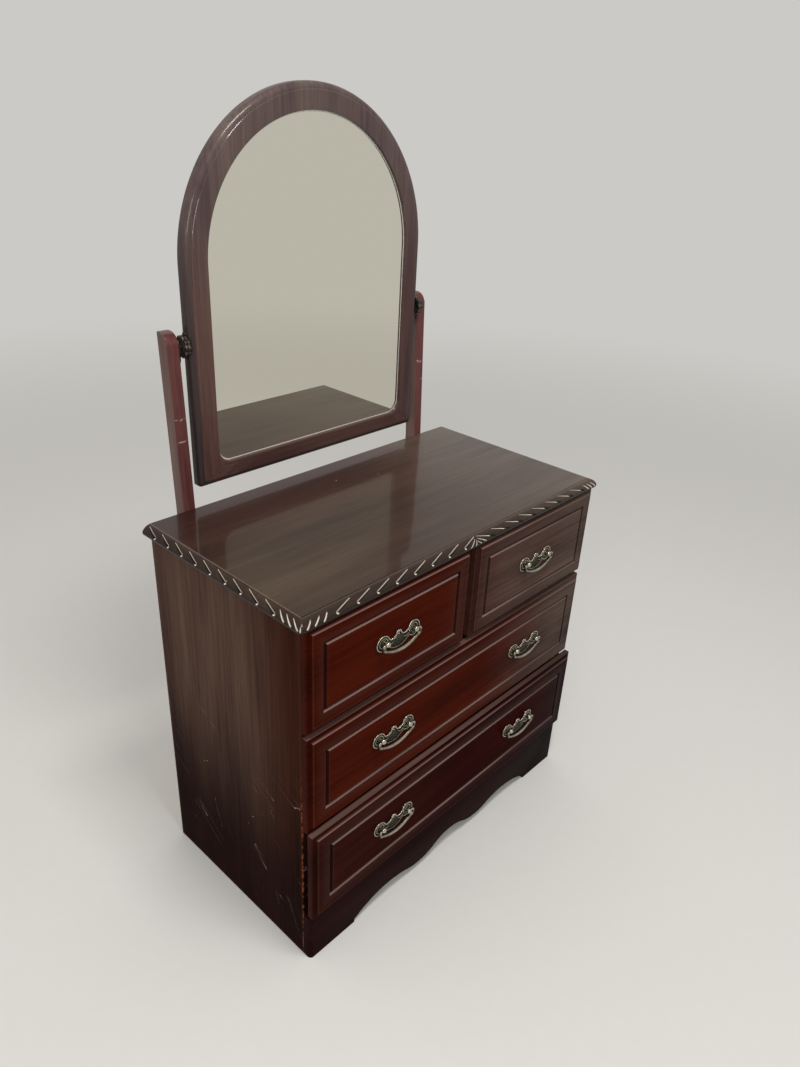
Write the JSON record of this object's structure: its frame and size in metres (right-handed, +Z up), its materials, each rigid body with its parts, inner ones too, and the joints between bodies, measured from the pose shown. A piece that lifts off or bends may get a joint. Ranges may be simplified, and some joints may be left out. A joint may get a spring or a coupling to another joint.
{
  "type": "chest of drawers with mirror",
  "caption": "Bedroom chest of drawers in red-brown lacquered wood with a rope-carved top edge, swinging brass-coloured handles, scalloped plinth and a tilting arched mirror between posts.",
  "frame": {"origin": "on the floor under the middle of the whole object's box", "axes": "+Z up, front towards -Y, +X to the right of someone facing the drawers"},
  "size_m": [0.76, 0.4598, 1.356],
  "materials": {
    "mahogany_lacquer": "gloss lacquer",
    "plain_drawer_wood": "plain",
    "unfinished_wood": "plain",
    "backing_ply": "plain",
    "antique_brass": "antiqued",
    "dark_bronze": "satin",
    "silvered_glass": "polished"
  },
  "bodies": {
    "carcass": {"top_board": "mahogany_lacquer", "side_panel_left": "mahogany_lacquer", "side_panel_right": "mahogany_lacquer", "back_panel": "backing_ply", "base_board": "unfinished_wood", "divider_shelf": "mahogany_lacquer", "lower_rail": "mahogany_lacquer", "top_front_rail": "mahogany_lacquer", "top_rear_rail": "unfinished_wood", "centre_divider": "mahogany_lacquer", "rear_stretcher": "unfinished_wood", "plinth_front": "mahogany_lacquer", "plinth_blocks": "unfinished_wood", "drawer_runners": "plain_drawer_wood", "mirror_post_left": "mahogany_lacquer", "mirror_post_right": "mahogany_lacquer", "movement_bases": "dark_bronze"},
    "small_left_drawer": {"small_left_drawer_front": "mahogany_lacquer", "small_left_drawer_side_left": "plain_drawer_wood", "small_left_drawer_side_right": "plain_drawer_wood", "small_left_drawer_back": "plain_drawer_wood", "small_left_drawer_bottom": "plain_drawer_wood", "small_left_drawer_handle_plate": "antique_brass"},
    "small_left_drawer_bail": {"small_left_drawer_bail": "antique_brass"},
    "small_right_drawer": {"small_right_drawer_front": "mahogany_lacquer", "small_right_drawer_side_left": "plain_drawer_wood", "small_right_drawer_side_right": "plain_drawer_wood", "small_right_drawer_back": "plain_drawer_wood", "small_right_drawer_bottom": "plain_drawer_wood", "small_right_drawer_handle_plate": "antique_brass"},
    "small_right_drawer_bail": {"small_right_drawer_bail": "antique_brass"},
    "upper_drawer": {"upper_drawer_front": "mahogany_lacquer", "upper_drawer_side_left": "plain_drawer_wood", "upper_drawer_side_right": "plain_drawer_wood", "upper_drawer_back": "plain_drawer_wood", "upper_drawer_bottom": "plain_drawer_wood", "upper_drawer_handle_plates": "antique_brass"},
    "upper_drawer_left_bail": {"upper_drawer_left_bail": "antique_brass"},
    "upper_drawer_right_bail": {"upper_drawer_right_bail": "antique_brass"},
    "lower_drawer": {"lower_drawer_front": "mahogany_lacquer", "lower_drawer_side_left": "plain_drawer_wood", "lower_drawer_side_right": "plain_drawer_wood", "lower_drawer_back": "plain_drawer_wood", "lower_drawer_bottom": "plain_drawer_wood", "lower_drawer_handle_plates": "antique_brass"},
    "lower_drawer_left_bail": {"lower_drawer_left_bail": "antique_brass"},
    "lower_drawer_right_bail": {"lower_drawer_right_bail": "antique_brass"},
    "mirror": {"mirror_frame": "mahogany_lacquer", "mirror_glass": "silvered_glass", "mirror_backboard": "backing_ply", "movement_arms": "dark_bronze"}
  },
  "joints": [
    {"name": "small_left_drawer_slide", "type": "slide", "parent": "carcass", "child": "small_left_drawer", "axis": [0, -1, 0], "range_m": [0, 0.27]},
    {"name": "small_left_drawer_bail_swing", "type": "hinge", "parent": "small_left_drawer", "child": "small_left_drawer_bail", "pos_m": [-0.184, -0.20685, 0.5975], "axis": [-1, 0, 0], "range_deg": [0, 85]},
    {"name": "small_right_drawer_slide", "type": "slide", "parent": "carcass", "child": "small_right_drawer", "axis": [0, -1, 0], "range_m": [0, 0.27]},
    {"name": "small_right_drawer_bail_swing", "type": "hinge", "parent": "small_right_drawer", "child": "small_right_drawer_bail", "pos_m": [0.184, -0.20685, 0.5975], "axis": [-1, 0, 0], "range_deg": [0, 85]},
    {"name": "upper_drawer_slide", "type": "slide", "parent": "carcass", "child": "upper_drawer", "axis": [0, -1, 0], "range_m": [0, 0.27]},
    {"name": "upper_drawer_left_bail_swing", "type": "hinge", "parent": "upper_drawer", "child": "upper_drawer_left_bail", "pos_m": [-0.184, -0.20685, 0.4055], "axis": [-1, 0, 0], "range_deg": [0, 85]},
    {"name": "upper_drawer_right_bail_swing", "type": "hinge", "parent": "upper_drawer", "child": "upper_drawer_right_bail", "pos_m": [0.184, -0.20685, 0.4055], "axis": [-1, 0, 0], "range_deg": [0, 85]},
    {"name": "lower_drawer_slide", "type": "slide", "parent": "carcass", "child": "lower_drawer", "axis": [0, -1, 0], "range_m": [-0.011, 0.259]},
    {"name": "lower_drawer_left_bail_swing", "type": "hinge", "parent": "lower_drawer", "child": "lower_drawer_left_bail", "pos_m": [-0.184, -0.21785, 0.2135], "axis": [-1, 0, 0], "range_deg": [0, 85]},
    {"name": "lower_drawer_right_bail_swing", "type": "hinge", "parent": "lower_drawer", "child": "lower_drawer_right_bail", "pos_m": [0.184, -0.21785, 0.2135], "axis": [-1, 0, 0], "range_deg": [0, 85]},
    {"name": "mirror_tilt", "type": "hinge", "parent": "carcass", "child": "mirror", "pos_m": [0, 0.21115, 0.975], "axis": [1, 0, 0], "range_deg": [-30, 30]}
  ]
}
